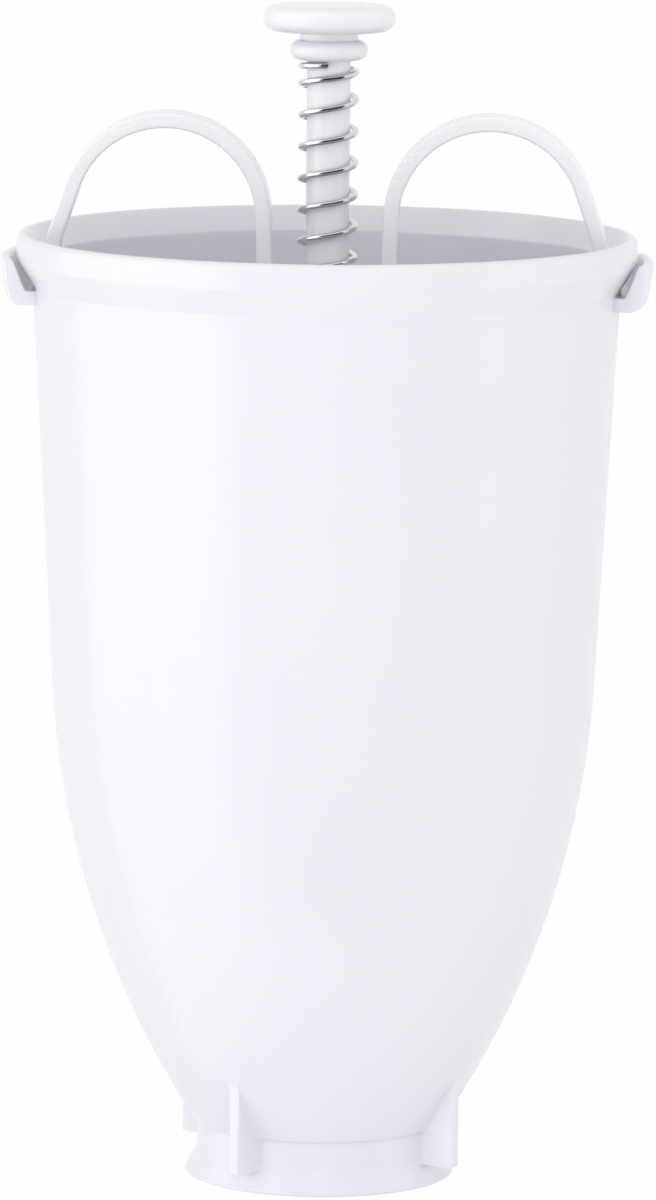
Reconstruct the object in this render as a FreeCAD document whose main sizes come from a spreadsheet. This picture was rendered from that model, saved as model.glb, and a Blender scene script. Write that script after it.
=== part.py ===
"""Pancake batter dispenser: a moulded hopper with a sprung plunger that opens a valve in its foot.

Frame: +Z up along the plunger, origin on the axis in the plane of the skirt's bottom edge,
X through the two finger loops and the two lugs. Millimetres.
"""
import FreeCAD, Part
import math
import os
import Sketcher

# Driving dimensions, in millimetres, degrees or counts: name, value, meaning
DIMENSIONS = [
    ("skirt_radius", 25.1, "outer radius of the skirt's bottom edge"),
    ("skirt_bore", 23.4, "inner radius of the skirt's bottom edge"),
    ("skirt_height", 4.9, "height at which the skirt's flare runs into the neck"),
    ("skirt_steps", 3, "short tapers that draw the skirt's flare"),
    ("neck_radius", 22.7, "outer radius of the plain neck band"),
    ("neck_height", 9.8, "top of the neck band"),
    ("neck_wall", 1.9, "wall of the neck"),
    ("bowl_foot_radius", 23.4, "outer radius where the bowl starts"),
    ("bowl_foot_height", 10.0, "height where the bowl starts"),
    ("shoulder_radius", 50.1, "outer radius where the round bowl becomes straight"),
    ("shoulder_height", 92.0, "height where the round bowl becomes straight"),
    ("bowl_steps", 4, "short tapers that draw the round bowl"),
    ("collar_radius", 54.0, "outer radius under the lip"),
    ("collar_height", 165.6, "height of the crease under the lip"),
    ("lip_radius", 57.0, "greatest radius of the lip"),
    ("lip_foot_height", 170.5, "height where the lip's flare ends"),
    ("rim_height", 175.2, "crest of the lip"),
    ("lip_round", 1.1, "rounding of the lip's outer edge"),
    ("lip_steps", 2, "short tapers that draw the lip's rounding"),
    ("mouth_depth", 4.6, "depth below the rim where the inside starts to flare"),
    ("mouth_radius", 55.4, "inner radius of the flare at the rim"),
    ("rim_chamfer", 0.4, "bevel of the lip's inner edge"),
    ("wall", 1.9, "wall of the bowl"),
    ("gusset_radius", 29.7, "radius of the gussets' upright edge"),
    ("gusset_foot", 3.8, "height of the gussets' flat underside"),
    ("gusset_thickness", 2.1, "thickness of a gusset"),
    ("gusset_count", 4, "gussets round the foot"),
    ("gusset_turn", 60.0, "angle of the first gusset from +X"),
    ("lug_floor", 162.5, "underside of the lugs"),
    ("lug_floor_thickness", 2.6, "thickness of a lug's floor"),
    ("lug_tip_height", 171.1, "top of the lugs' upstand"),
    ("lug_foot_radius", 57.1, "inner radius of the upstand at the floor"),
    ("lug_tip_radius", 58.3, "inner radius of the upstand near its tip"),
    ("lug_thickness", 1.8, "thickness of the upstand"),
    ("lug_span", 24.0, "angle that a lug covers round the rim"),
    ("snap_rise", 2.6, "height of the snap bead's middle above the cross bar"),
    ("snap_depth", 0.6, "how far the snap bead stands out"),
    ("snap_length", 1.6, "height of the snap bead's flat"),
    ("snap_span", 14.0, "angle of the pocket for the snap bead"),
    ("fit_gap", 0.25, "gap between the bridge and the hopper"),
    ("loop_radius", 19.4, "outer radius of a finger loop"),
    ("loop_centre", 29.7, "distance of a loop's centre from the axis"),
    ("loop_rise", 12.0, "height of a loop's centre above the cross bar"),
    ("band_thickness", 2.8, "thickness of the loops' band"),
    ("band_width", 9.0, "width of the bridge's band"),
    ("band_chamfer", 0.7, "chamfer along the band's edges"),
    ("leg_root_rise", 0.9, "height above the bar where the leaning leg would meet the collar radius"),
    ("inner_leg_foot", 9.85, "distance of the inner leg from the axis at the bar"),
    ("bar_drop", 9.2, "depth of the cross bar's top below the rim"),
    ("bar_thickness", 3.0, "thickness of the cross bar"),
    ("web_thickness", 2.0, "thickness of the web under the bar"),
    ("web_reach", 44.0, "distance from the axis where the web runs out"),
    ("web_depth", 9.0, "depth of the web at the hub"),
    ("hub_radius", 8.0, "outer radius of the hub"),
    ("hub_drop", 12.0, "how far the hub reaches below the cross bar"),
    ("seat_rise", 0.5, "height of the spring's seat above the cross bar"),
    ("seat_depth", 1.1, "depth of the spring's seat"),
    ("seat_clearance", 0.4, "radial clearance round the spring in its seat"),
    ("rod_radius", 4.0, "radius of the plunger rod"),
    ("rod_clearance", 0.08, "radial clearance of the rod in the hub"),
    ("rod_chamfer", 0.5, "chamfer on the rod's ends"),
    ("socket_clearance", 0.04, "radial clearance of the rod in its sockets"),
    ("socket_depth", 6.3, "depth of the rod's socket in the knob"),
    ("coil_radius", 5.0, "radius of the spring's centre line"),
    ("wire_radius", 0.6, "radius of the spring's wire"),
    ("spring_turns", 8, "turns of the spring, with its closed ends"),
    ("wire_sides", 6, "sides that draw the wire's round section"),
    ("closed_quarters", 2, "quarter turns at each end that rise least"),
    ("ramp_quarters", 3, "quarter turns over which the rise grows"),
    ("closed_rise", 0.44, "rise of each of the closed quarter turns"),
    ("spring_gap", 0.05, "gap between the spring and each seat"),
    ("socket_gap", 0.05, "gap between the rod's ends and the floors of its sockets"),
    ("spring_room", 40.7, "height between the spring's seat and the knob's bead at rest"),
    ("bead_radius", 7.13, "radius of the knob's bead"),
    ("bead_height", 3.6, "height of the bead's round side"),
    ("bead_steps", 2, "short tapers that draw the bead's round side"),
    ("knob_neck_radius", 5.4, "radius of the neck under the knob's disc"),
    ("knob_neck_length", 1.5, "length of the neck between the bead and the disc"),
    ("disc_radius", 12.15, "radius of the thumb disc"),
    ("disc_height", 5.4, "height of the thumb disc from its neck to its crown"),
    ("disc_edge", 2.4, "rounding of the disc's edge"),
    ("disc_edge_steps", 4, "short tapers that draw the disc's round edge"),
    ("disc_flat_share", 0.4, "share of the disc's radius where its crown is flat"),
    ("disc_crown", 0.5, "rise of the disc's crown"),
    ("seat_top", 5.0, "height where the valve's conical seat ends in the neck bore"),
    ("valve_gap", 0.34, "radial gap between the shut valve and its seat"),
    ("valve_foot", 0.8, "height of the valve's lowest edge when shut"),
    ("valve_wall", 1.8, "wall of the valve's cone"),
    ("valve_rise", 4.4, "rise of the valve's cone from its edge to the boss"),
    ("valve_boss_radius", 6.4, "radius of the valve's boss"),
    ("valve_boss_top", 18.0, "top of the valve's boss"),
    ("valve_boss_foot", 2.2, "underside of the valve's boss"),
    ("valve_floor", 3.0, "thickness under the rod's socket"),
    ("valve_rib_count", 6, "ribs under the valve"),
    ("valve_rib_thickness", 1.5, "thickness of a rib under the valve"),
]

VALUES = {name: value for name, value, meaning in DIMENSIONS}


class Size:
    """A length that carries its number and the spreadsheet formula that it comes from."""

    def __init__(self, number, formula):
        self.number = number
        self.formula = formula

    def joined(self, other, sign, number):
        text = other.formula if isinstance(other, Size) else repr(other)
        return Size(number, f"({self.formula} {sign} {text})")

    def __add__(self, other):
        return self.joined(other, "+", self.number + number_of(other))

    def __sub__(self, other):
        return self.joined(other, "-", self.number - number_of(other))

    def __mul__(self, other):
        return self.joined(other, "*", self.number * number_of(other))

    def __truediv__(self, other):
        return self.joined(other, "/", self.number / number_of(other))

    def root(self):
        """Gives the square root."""
        return Size(math.sqrt(self.number), f"sqrt({self.formula})")


def number_of(value):
    """Gives the plain number of a size or of a number."""
    return value.number if isinstance(value, Size) else float(value)


def size(name):
    """Gives a driving dimension of the sheet by its name."""
    return Size(VALUES[name], f"Sizes.{name}")


document = FreeCAD.newDocument("BatterDispenser")
sheet = document.addObject("Spreadsheet::Sheet", "Sizes")
for row, (name, value, meaning) in enumerate(DIMENSIONS, start=1):
    sheet.set(f"A{row}", meaning)
    sheet.set(f"B{row}", str(value))
    sheet.setAlias(f"B{row}", name)
document.recompute()

ZERO = Size(0.0, "0")
QUARTER = math.pi / 2

# Places that several pieces share, from the rim down and then up through the spring and the knob
bar_top = size("rim_height") - size("bar_drop")
bar_foot = bar_top - size("bar_thickness")
snap_height = bar_top + size("snap_rise")
hub_foot = bar_foot - size("hub_drop")
seat_height = bar_top + size("seat_rise")
bead_foot = seat_height + size("spring_room")
disc_foot = bead_foot + size("bead_height") + size("knob_neck_length")
disc_top = disc_foot + size("disc_height")


# Helpers for bodies, sketches and features

def new_body(label):
    """Adds a body that becomes one moulded or turned piece."""
    body = document.addObject("PartDesign::Body", label)
    body.Label = label
    return body


def origin_feature(body, role):
    """Finds one of the body's own planes or axes."""
    return next(feature for feature in body.Origin.OriginFeatures if feature.Role == role)


def new_sketch(body, name, role="XZ_Plane", turn=None):
    """Adds a sketch on one of the body's planes, turned about its upright axis if asked."""
    sketch = body.newObject("Sketcher::SketchObject", name)
    sketch.AttachmentSupport = [(origin_feature(body, role), "")]
    sketch.MapMode = "FlatFace"
    if turn is not None:
        upright = FreeCAD.Rotation(FreeCAD.Vector(0, 1, 0), turn.number)
        sketch.AttachmentOffset = FreeCAD.Placement(FreeCAD.Vector(), upright)
        sketch.setExpression("AttachmentOffset.Rotation.Angle", turn.formula)
    return sketch


def point(corner):
    """Gives a corner's place in the sketch as it is drawn."""
    return FreeCAD.Vector(number_of(corner[0]), number_of(corner[1]), 0)


def circle_through(first, middle, last):
    """Gives the circle through three points, with its axis by their order."""
    return Part.Arc(first, middle, last).toShape().Curve


def hold(sketch, kind, geometry, value):
    """Adds one dimension to the sketch and ties it to the sheet."""
    index = sketch.addConstraint(Sketcher.Constraint(kind, *geometry, number_of(value)))
    if value.formula != "0":
        sketch.setExpression(f"Constraints[{index}]", value.formula)
    return index


def hold_corner(sketch, geometry, end, corner):
    """Ties a corner to the origin. A plain number in it is a first guess and stays free."""
    for kind, axis, value in (("DistanceX", -2, corner[0]), ("DistanceY", -1, corner[1])):
        if not isinstance(value, Size):
            continue
        if value.formula == "0":
            sketch.addConstraint(Sketcher.Constraint("PointOnObject", geometry, end, axis))
        else:
            hold(sketch, kind, (-1, 1, geometry, end), value)


def outline(sketch, corners, bends=None, smooth=(), centres=None, radii=None):
    """Closes a loop of sides through the corners.

    bends gives, for a round side, a point that it passes near. smooth lists the corners at
    which two sides run into each other with no kink. centres and radii hold round sides.
    """
    bends = bends or {}
    count = len(corners)
    sides = []
    for side in range(count):
        first = point(corners[side])
        last = point(corners[(side + 1) % count])
        if side in bends:
            circle = circle_through(first, point(bends[side]), last)
            middle = circle.Center
            start = math.atan2(first.y - middle.y, first.x - middle.x)
            stop = math.atan2(last.y - middle.y, last.x - middle.x)
            turns_left = circle.Axis.z > 0
            if not turns_left:
                start, stop = stop, start
            ring = Part.Circle(middle, FreeCAD.Vector(0, 0, 1), circle.Radius)
            index = sketch.addGeometry(Part.ArcOfCircle(ring, start, stop), False)
            sides.append((index, 1, 2) if turns_left else (index, 2, 1))
        else:
            index = sketch.addGeometry(Part.LineSegment(first, last), False)
            sides.append((index, 1, 2))
    for corner in range(count):
        before, _, before_end = sides[corner - 1]
        after, after_end, _ = sides[corner]
        kind = "Tangent" if corner in smooth else "Coincident"
        sketch.addConstraint(Sketcher.Constraint(kind, before, before_end, after, after_end))
    for corner in range(count):
        hold_corner(sketch, sides[corner][0], sides[corner][1], corners[corner])
    for side, centre in (centres or {}).items():
        hold_corner(sketch, sides[side][0], 3, centre)
    for side, radius in (radii or {}).items():
        hold(sketch, "Radius", (sides[side][0],), radius)
    return [index for index, _, _ in sides]


def round_side(middle, radius, first_angle, last_angle, steps):
    """Gives corners evenly spaced on an arc about a point of the sketch."""
    corners = []
    for step in range(int(steps) + 1):
        angle = first_angle + (last_angle - first_angle) * step / int(steps)
        corners.append((middle[0] + radius * math.cos(angle), middle[1] + radius * math.sin(angle)))
    return corners


def turned(body, name, kind, sketch, span=None):
    """Turns a section about the upright axis, all round or over a span centred on the sketch."""
    feature = body.newObject(f"PartDesign::{kind}", name)
    feature.Profile = sketch
    feature.ReferenceAxis = (sketch, ["V_Axis"])
    feature.Angle = 360 if span is None else span.number
    if span is not None:
        feature.Midplane = True
        feature.setExpression("Angle", span.formula)
    document.recompute()
    return feature


def raised(body, name, sketch, length):
    """Pads a sketch by half the length to each side of its plane."""
    feature = body.newObject("PartDesign::Pad", name)
    feature.Profile = sketch
    feature.SideType = "Symmetric"
    feature.Length = length.number
    feature.setExpression("Length", length.formula)
    document.recompute()
    return feature


def repeated(body, name, feature, count):
    """Repeats a feature round the upright axis."""
    pattern = body.newObject("PartDesign::PolarPattern", name)
    pattern.Originals = [feature]
    pattern.Axis = (origin_feature(body, "Z_Axis"), [""])
    pattern.Angle = 360
    pattern.Occurrences = int(number_of(count))
    if isinstance(count, Size):
        pattern.setExpression("Occurrences", count.formula)
    body.Tip = pattern
    document.recompute()
    return pattern


def chamfered(body, name, feature, width, wanted):
    """Chamfers the edges of a feature that the test wanted picks."""
    edges = feature.Shape.Edges
    names = [f"Edge{number}" for number, edge in enumerate(edges, start=1) if wanted(edge)]
    chamfer = body.newObject("PartDesign::Chamfer", name)
    chamfer.Base = (feature, names)
    chamfer.Size = width.number
    chamfer.setExpression("Size", width.formula)
    body.Tip = chamfer
    document.recompute()
    return chamfer


def removes(body, feature, before):
    """Checks that a cut has really taken material away."""
    if not feature.Shape.Volume < before - 0.01:
        raise ValueError(f"{feature.Name} cuts nothing from {body.Label}")


# Hopper

neck_bore = size("neck_radius") - size("neck_wall")
shoulder = (size("shoulder_radius"), size("shoulder_height"))
collar = (size("collar_radius"), size("collar_height"))

# The straight wall from the shoulder to the collar
wall_run = size("collar_height") - size("shoulder_height")
wall_rise = size("collar_radius") - size("shoulder_radius")
wall_length = (wall_run * wall_run + wall_rise * wall_rise).root()

# The round bowl is an arc through its foot that runs into the straight wall with no kink
bowl_drop = size("shoulder_height") - size("bowl_foot_height")
bowl_spread = size("shoulder_radius") - size("bowl_foot_radius")
bowl_chord = bowl_drop * bowl_drop + bowl_spread * bowl_spread
bowl_round = bowl_chord * wall_length / ((bowl_spread * wall_run - bowl_drop * wall_rise) * 2.0)
bowl_centre = (
    size("shoulder_radius") - bowl_round * wall_run / wall_length,
    size("shoulder_height") + bowl_round * wall_rise / wall_length,
)


def wall_radius_at(height, inset):
    """Gives the radius of the straight wall at a height, moved inwards from its outside."""
    outside = size("shoulder_radius") + (height - size("shoulder_height")) * wall_rise / wall_run
    return outside - inset * wall_length / wall_run


def bowl_radius_at(height, inset):
    """Gives the radius of the round bowl at a height, moved inwards from its outside."""
    reach = bowl_round - inset
    drop = height - bowl_centre[1]
    return bowl_centre[0] + (reach * reach - drop * drop).root()


def bowl_height_at(radius, inset):
    """Gives the height at which the round bowl has a radius, moved inwards from its outside."""
    reach = bowl_round - inset
    across = radius - bowl_centre[0]
    return bowl_centre[1] - (reach * reach - across * across).root()


def bowl_side(low, inset):
    """Gives the corners of the round bowl's side, from a height up to the straight wall."""
    steps = int(VALUES["bowl_steps"])
    high = size("shoulder_height") + inset * wall_rise / wall_length
    corners = []
    for step in range(steps):
        height = low + (high - low) * (step / steps)
        corners.append((bowl_radius_at(height, inset), height))
    corners.append((size("shoulder_radius") - inset * wall_run / wall_length, high))
    return corners


def skirt_flare():
    """Gives the corners of the skirt's flare: its spread falls with the square of the height."""
    steps = int(VALUES["skirt_steps"])
    spread = size("skirt_radius") - size("neck_radius")
    corners = []
    for step in range(steps):
        left = (steps - step) / steps
        corners.append((size("neck_radius") + spread * (left * left), size("skirt_height") * (1 - left)))
    corners.append((size("neck_radius"), size("skirt_height")))
    return corners


def make_hopper():
    """Builds the hopper: turned outside, gussets and lugs, then the turned inside cut away."""
    body = new_body("hopper")
    nothing = size("wall") * 0.0

    outside = new_sketch(body, "outside_section")
    lip_middle = (size("lip_radius") - size("lip_round"), size("rim_height") - size("lip_round"))
    corners = [(ZERO, ZERO)] + skirt_flare()
    corners.append((size("neck_radius"), size("neck_height")))
    corners += bowl_side(size("bowl_foot_height"), nothing)
    corners += [collar, (size("lip_radius"), size("lip_foot_height"))]
    corners += round_side(lip_middle, size("lip_round"), 0, QUARTER, VALUES["lip_steps"])
    corners.append((ZERO, size("rim_height")))
    outline(outside, corners)
    turned(body, "outside", "Revolution", outside)

    gusset_top = bowl_height_at(size("gusset_radius"), nothing) + size("gusset_thickness")
    inside_neck = neck_bore * 0.5
    gusset = new_sketch(body, "gusset_outline", turn=size("gusset_turn"))
    outline(
        gusset,
        [
            (inside_neck, size("gusset_foot")),
            (size("gusset_radius"), size("gusset_foot")),
            (size("gusset_radius"), gusset_top),
            (inside_neck, gusset_top),
        ],
    )
    gusset_pad = raised(body, "gusset", gusset, size("gusset_thickness"))
    repeated(body, "gussets", gusset_pad, size("gusset_count"))

    lug_pad = turned(body, "lug", "Revolution", lug_section(body), size("lug_span"))
    repeated(body, "lugs", lug_pad, 2)

    inside = new_sketch(body, "inside_section")
    mouth_foot = size("rim_height") - size("mouth_depth")
    corners = [(ZERO, ZERO), (size("skirt_bore"), ZERO), (neck_bore, size("seat_top"))]
    corners += bowl_side(bowl_height_at(neck_bore, size("wall")), size("wall"))
    corners += [
        (wall_radius_at(mouth_foot, size("wall")), mouth_foot),
        (size("mouth_radius"), size("rim_height") - size("rim_chamfer")),
        (size("mouth_radius") + size("rim_chamfer"), size("rim_height")),
        (ZERO, size("rim_height")),
    ]
    outline(inside, corners)
    before = body.Shape.Volume
    removes(body, turned(body, "inside", "Groove", inside), before)

    pocket = new_sketch(body, "snap_pocket_section")
    snap_outline(pocket, size("fit_gap"), size("snap_depth"))
    before = body.Shape.Volume
    snap_pocket = turned(body, "snap_pocket", "Groove", pocket, size("snap_span"))
    removes(body, snap_pocket, before)
    repeated(body, "snap_pockets", snap_pocket, 2)
    return body


def lug_section(body):
    """Draws a lug: a floor that springs from under the lip, and an upstand with a round tip."""
    section = new_sketch(body, "lug_section")
    thick = size("lug_thickness")
    floor_top = size("lug_floor") + size("lug_floor_thickness")
    tip_side = size("lug_tip_height") - thick * 0.5
    root = size("collar_radius") - size("wall")
    bend = (size("lug_foot_radius") + thick * 0.6, size("lug_floor") + size("lug_floor_thickness") * 0.3)
    tip = (size("lug_tip_radius") + thick * 0.5, size("lug_tip_height"))
    outline(
        section,
        [
            (root, size("lug_floor")),
            (size("lug_foot_radius") - thick * 0.1, size("lug_floor")),
            (size("lug_foot_radius") + thick, floor_top),
            (size("lug_tip_radius") + thick, tip_side),
            (size("lug_tip_radius"), tip_side),
            (size("lug_foot_radius"), floor_top),
            (root, floor_top),
        ],
        bends={1: bend, 3: tip},
        smooth=(1,),
        centres={3: (number_of(tip[0]), tip_side)},
    )
    return section


def snap_outline(sketch, gap, depth):
    """Draws the snap bead's outline, grown by gap, with sloping ends that cross the wall's face."""
    half = size("snap_length") * 0.5 + gap
    low = snap_height - half
    high = snap_height + half
    face = wall_radius_at(snap_height, size("wall")) + depth
    outline(
        sketch,
        [
            (face - depth * 2.0, low - depth * 2.0),
            (face, low),
            (face, high),
            (face - depth * 2.0, high + depth * 2.0),
        ],
    )


# Finger bridge

LEAN_GUESS = 19.0


def make_bridge():
    """Builds the bridge: band padded and rounded, hub and web added, feet trimmed to the wall."""
    body = new_body("finger_bridge")
    thick = size("band_thickness")
    centre = (size("loop_centre"), bar_top + size("loop_rise"))
    lean = math.radians(LEAN_GUESS)
    radius = number_of(size("loop_radius"))
    middle = point(centre)
    outer_touch = (middle.x + radius * math.cos(lean), middle.y + radius * math.sin(lean))
    inner_touch = (middle.x - radius, middle.y - 1.0)
    small = radius - number_of(thick)
    outer_hole = (middle.x + small * math.cos(lean), middle.y + small * math.sin(lean))
    inner_hole = (middle.x - small, middle.y - 1.0)

    band = new_sketch(body, "band_outline")
    outer = outline(
        band,
        [
            (ZERO, bar_foot),
            (size("collar_radius"), bar_foot),
            (size("collar_radius"), bar_top + size("leg_root_rise")),
            outer_touch,
            inner_touch,
            (size("inner_leg_foot"), bar_top),
            (ZERO, bar_top),
        ],
        bends={3: (middle.x, middle.y + radius)},
        smooth=(3, 4),
        centres={3: centre},
        radii={3: size("loop_radius")},
    )
    wall_face = wall_radius_at(bar_top, size("wall") + size("fit_gap"))
    hole = outline(
        band,
        [
            (size("inner_leg_foot") + thick, bar_top),
            (wall_face - thick, bar_top),
            (wall_face - thick * 0.9, number_of(bar_top + size("leg_root_rise")) + 4.0),
            outer_hole,
            inner_hole,
        ],
        bends={3: (middle.x, middle.y + small)},
        smooth=(3, 4),
        centres={3: centre},
        radii={3: size("loop_radius") - thick},
    )
    band.addConstraint(Sketcher.Constraint("Parallel", outer[2], hole[2]))
    pad = raised(body, "half_band", band, size("band_width"))
    mirror = body.newObject("PartDesign::Mirrored", "band")
    mirror.Originals = [pad]
    mirror.MirrorPlane = (origin_feature(body, "YZ_Plane"), [""])
    body.Tip = mirror
    document.recompute()
    half_width = number_of(size("band_width")) / 2

    def on_band_face(edge):
        return all(abs(abs(vertex.Y) - half_width) < 0.01 for vertex in edge.Vertexes)

    chamfered(body, "band_edges", mirror, size("band_chamfer"), on_band_face)

    web = new_sketch(body, "web_outline")
    inside_bar = bar_foot + size("bar_thickness") * 0.5
    outline(
        web,
        [
            (size("web_reach") * -1.0, inside_bar),
            (size("hub_radius") * -1.0, bar_foot - size("web_depth")),
            (size("hub_radius"), bar_foot - size("web_depth")),
            (size("web_reach"), inside_bar),
        ],
    )
    raised(body, "web", web, size("web_thickness"))

    hub = new_sketch(body, "hub_section")
    hub_top = seat_height + size("seat_depth")
    outline(
        hub,
        [
            (ZERO, hub_foot),
            (size("hub_radius"), hub_foot),
            (size("hub_radius"), hub_top),
            (ZERO, hub_top),
        ],
    )
    turned(body, "hub", "Revolution", hub)

    bore = new_sketch(body, "hub_bore_section")
    bore_radius = size("rod_radius") + size("rod_clearance")
    seat_radius = size("coil_radius") + size("wire_radius") + size("seat_clearance")
    outline(
        bore,
        [
            (ZERO, hub_foot),
            (bore_radius, hub_foot),
            (bore_radius, seat_height),
            (seat_radius, seat_height),
            (seat_radius, hub_top),
            (ZERO, hub_top),
        ],
    )
    before = body.Shape.Volume
    removes(body, turned(body, "hub_bore", "Groove", bore), before)

    trim = new_sketch(body, "foot_trim_section")
    half = size("snap_length") * 0.5
    low = snap_height - half
    high = snap_height + half
    inset = size("wall") + size("fit_gap")
    depth = size("snap_depth")
    beyond = size("collar_radius") * 1.2
    face = wall_radius_at(snap_height, inset) + depth
    below = bar_foot - size("bar_thickness")
    outline(
        trim,
        [
            (wall_radius_at(below, inset), below),
            (beyond, below),
            (beyond, size("rim_height")),
            (wall_radius_at(size("rim_height"), inset), size("rim_height")),
            (wall_radius_at(high + depth, inset), high + depth),
            (face, high),
            (face, low),
            (wall_radius_at(low - depth, inset), low - depth),
        ],
    )
    before = body.Shape.Volume
    removes(body, turned(body, "foot_trim", "Groove", trim), before)
    return body


# Plunger: rod, knob and valve

valve_socket_foot = size("valve_boss_foot") + size("valve_floor")
rod_foot = valve_socket_foot + size("socket_gap")
rod_head = bead_foot + size("socket_depth") - size("socket_gap")


def make_rod():
    """Builds the plain rod with its chamfered ends."""
    body = new_body("plunger_rod")
    section = new_sketch(body, "rod_section")
    chamfer = size("rod_chamfer")
    outline(
        section,
        [
            (ZERO, rod_foot),
            (size("rod_radius") - chamfer, rod_foot),
            (size("rod_radius"), rod_foot + chamfer),
            (size("rod_radius"), rod_head - chamfer),
            (size("rod_radius") - chamfer, rod_head),
            (ZERO, rod_head),
        ],
    )
    turned(body, "rod", "Revolution", section)
    return body


def bead_side():
    """Gives the corners of the bead's side, round about a point on the axis at half its height."""
    steps = int(VALUES["bead_steps"])
    corners = []
    for step in range(steps + 1):
        above = size("bead_height") * (step / steps - 0.5)
        radius = (size("bead_radius") * size("bead_radius") - above * above).root()
        corners.append((radius, bead_foot + size("bead_height") * (step / steps)))
    return corners


def make_knob():
    """Builds the knob: a bead that meets the spring, a short neck and the crowned thumb disc."""
    body = new_body("knob")
    section = new_sketch(body, "knob_section")
    socket_top = bead_foot + size("socket_depth")
    edge_middle = (
        size("disc_radius") - size("disc_edge"),
        disc_top - size("disc_crown") - size("disc_edge"),
    )
    hole = size("rod_radius") + size("socket_clearance")
    corners = [(hole, bead_foot)] + bead_side()
    corners += [
        (size("knob_neck_radius"), bead_foot + size("bead_height")),
        (size("knob_neck_radius"), disc_foot),
    ]
    corners += round_side(edge_middle, size("disc_edge"), -QUARTER, QUARTER, VALUES["disc_edge_steps"])
    corners += [
        (size("disc_radius") * size("disc_flat_share"), disc_top),
        (ZERO, disc_top),
        (ZERO, socket_top),
        (hole, socket_top),
    ]
    outline(section, corners)
    turned(body, "knob_turned", "Revolution", section)
    return body


def make_valve():
    """Builds the valve: a hollow cone that seats in the skirt, with its boss and ribs."""
    body = new_body("valve_plug")
    section = new_sketch(body, "valve_section")
    seat_slope = (size("skirt_bore") - neck_bore) / size("seat_top")
    foot = size("valve_foot")
    rim = size("skirt_bore") - seat_slope * foot - size("valve_gap")
    crown = neck_bore - size("valve_gap")
    wall = size("valve_wall")
    boss = size("valve_boss_radius")
    hole = size("rod_radius") + size("socket_clearance")
    boss_root = size("seat_top") + size("valve_rise")
    outline(
        section,
        [
            (ZERO, size("valve_boss_foot")),
            (boss, size("valve_boss_foot")),
            (boss, boss_root - wall),
            (crown - wall, size("seat_top") - wall),
            (rim - wall * 1.2, foot),
            (rim, foot),
            (crown, size("seat_top")),
            (boss, boss_root),
            (boss, size("valve_boss_top")),
            (hole, size("valve_boss_top")),
            (hole, valve_socket_foot),
            (ZERO, valve_socket_foot),
        ],
    )
    turned(body, "cone", "Revolution", section)

    rib = new_sketch(body, "rib_outline")
    outline(
        rib,
        [
            (boss - wall * 0.5, size("valve_boss_foot")),
            (crown - wall * 0.8, size("valve_boss_foot")),
            (crown - wall * 0.8, size("seat_top") - wall * 0.8),
            (boss - wall * 0.5, boss_root - wall * 0.8),
        ],
    )
    rib_pad = raised(body, "rib", rib, size("valve_rib_thickness"))
    repeated(body, "ribs", rib_pad, size("valve_rib_count"))
    return body


# Return spring

def quarter_rises(span):
    """Shares the spring's height among its quarter turns.

    The closed quarters at each end rise least, so that the ends lie on their seats. The rise
    then grows by equal steps to that of the free quarters, which is the same for them all.
    """
    quarters = int(round(VALUES["spring_turns"] * 4))
    closed = int(VALUES["closed_quarters"])
    ramp = int(VALUES["ramp_quarters"])
    least = VALUES["closed_rise"]
    free = (span - least * (2 * closed + ramp)) / (quarters - 2 * closed - ramp)
    end = [least] * closed
    end += [least + (free - least) * step / (ramp + 1) for step in range(1, ramp + 1)]
    return end + [free] * (quarters - 2 * len(end)) + end[::-1]


def coil_knots():
    """Works out where the spring's centre line stands at each quarter turn, and its direction.

    The coil is right handed and starts on the -Y side.
    """
    foot = seat_height.number + VALUES["spring_gap"] + VALUES["wire_radius"]
    head = bead_foot.number - VALUES["spring_gap"] - VALUES["wire_radius"]
    rises = quarter_rises(head - foot)
    quarters = len(rises)
    radius = VALUES["coil_radius"]
    knots = []
    height = foot
    for step in range(quarters + 1):
        angle = -QUARTER + step * QUARTER
        before = rises[max(step - 1, 0)]
        after = rises[min(step, quarters - 1)]
        slope = (before + after) / 2 / QUARTER
        place = FreeCAD.Vector(radius * math.cos(angle), radius * math.sin(angle), height)
        heading = FreeCAD.Vector(-radius * math.sin(angle), radius * math.cos(angle), slope)
        knots.append((place, heading.normalize()))
        if step < quarters:
            height += rises[step]
    return knots


def arc_from_tangents(start, corner, end):
    """Gives the arc that leaves start towards corner and reaches end from it."""
    chord = (start + end) * 0.5
    half = (end - start).Length / 2
    lift = (corner - chord).Length
    sagitta = half * math.tan(math.atan2(lift, half) / 2)
    return Part.Arc(start, chord + (corner - chord) * (sagitta / lift), end).toShape()


def biarc(first, last):
    """Joins two knots of the coil by two arcs that share a tangent where they meet."""
    start, leaving = first
    end, arriving = last
    across = end - start
    pull = leaving + arriving
    squared = 2 * (leaving.dot(arriving) - 1)
    linear = -2 * across.dot(pull)
    constant = across.dot(across)
    reach = (-linear - math.sqrt(linear * linear - 4 * squared * constant)) / (2 * squared)
    if reach < 0:
        reach = (-linear + math.sqrt(linear * linear - 4 * squared * constant)) / (2 * squared)
    near = start + leaving * reach
    far = end - arriving * reach
    joint = (near + far) * 0.5
    return [arc_from_tangents(start, near, joint), arc_from_tangents(joint, far, end)]


def least_gap(path):
    """Measures on points how near the wire comes to itself, beyond half a turn along it."""
    points = path.discretize(Number=int(VALUES["spring_turns"] * 48) + 1)
    step = path.Length / (len(points) - 1)
    apart = int(math.pi * VALUES["coil_radius"] / step)
    nearest = min(
        (points[late] - points[early]).Length
        for early in range(len(points))
        for late in range(early + apart, len(points))
    )
    return nearest - 2 * VALUES["wire_radius"]


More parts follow.
